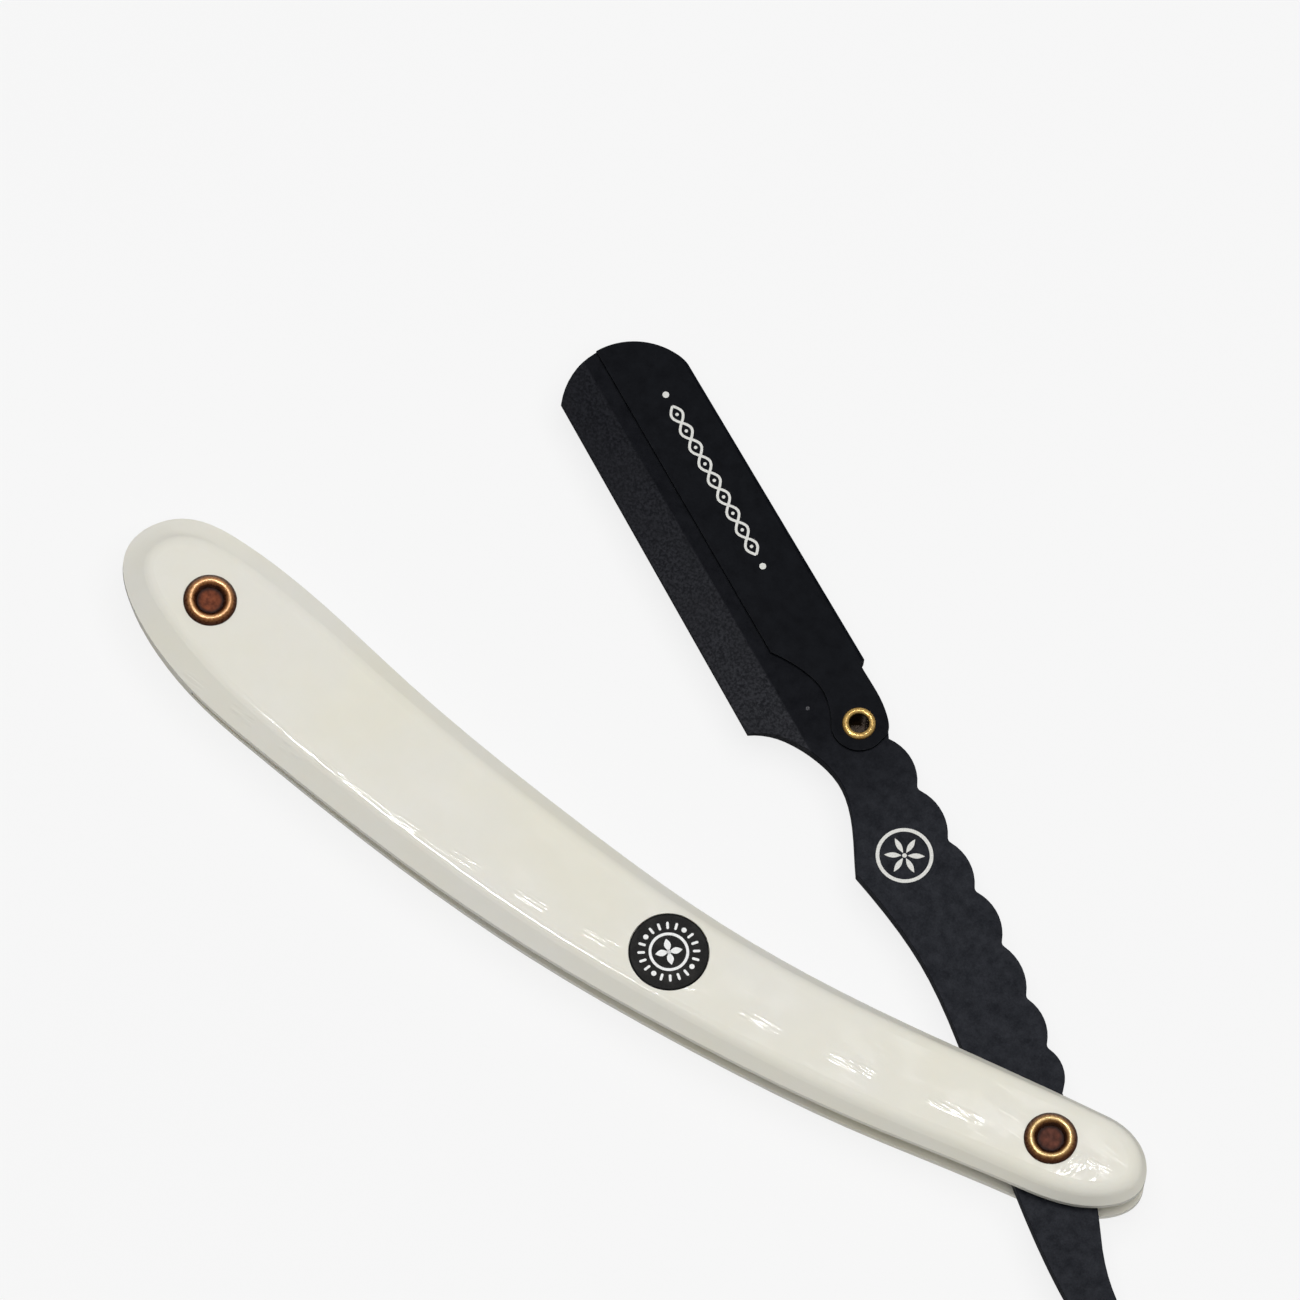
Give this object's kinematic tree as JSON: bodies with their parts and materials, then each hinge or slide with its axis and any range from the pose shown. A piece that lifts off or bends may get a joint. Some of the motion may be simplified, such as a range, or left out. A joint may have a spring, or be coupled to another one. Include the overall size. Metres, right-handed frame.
{
  "type": "folding straight razor",
  "caption": "Folding barber's razor with ivory handle scales and a black steel blade holder for a changeable half blade, shown half open.",
  "frame": {"origin": "on the main pivot's axis, in the plane of the pivot pin's flat back head", "axes": "+X from the handle's wedge end to its pivot end, +Y the side on which the arm opens, +Z out of the handle's front face"},
  "size_m": [0.1549, 0.0744, 0.0104],
  "materials": {
    "ivory": "polished",
    "medallion_black": "satin",
    "collar_brass": "antique",
    "pin_copper": "antique",
    "washer_brass": "satin",
    "eyelet_brass": "polished",
    "blackened_steel": "satin",
    "cover_black": "satin",
    "pin_steel": "polished"
  },
  "bodies": {
    "handle": {"front_scale": "ivory", "back_scale": "ivory", "wedge_spacer": "ivory", "medallion": "medallion_black", "wedge_pin": "pin_copper", "wedge_collar_front": "collar_brass", "wedge_collar_back": "collar_brass", "pivot_pin": "pin_copper", "pivot_collar_front": "collar_brass", "pivot_collar_back": "collar_brass", "pivot_washer_front": "washer_brass", "pivot_washer_back": "washer_brass"},
    "blade_arm": {"front_leaf": "blackened_steel", "back_leaf": "blackened_steel", "blade_pin_heel": "pin_steel", "blade_pin_tip": "pin_steel", "cover_eyelet": "eyelet_brass"},
    "cover": {"locking_cover": "cover_black"}
  },
  "joints": [
    {"name": "main_pivot", "type": "hinge", "parent": "handle", "child": "blade_arm", "pos_m": [0, 0, 0.0053], "axis": [0, 0, 1], "range_deg": [-300, 29.5]},
    {"name": "cover_swing", "type": "hinge", "parent": "blade_arm", "child": "cover", "pos_m": [-0.04511, 0.03, 0.0053], "axis": [0, 0, 1], "range_deg": [-110, 0]}
  ]
}
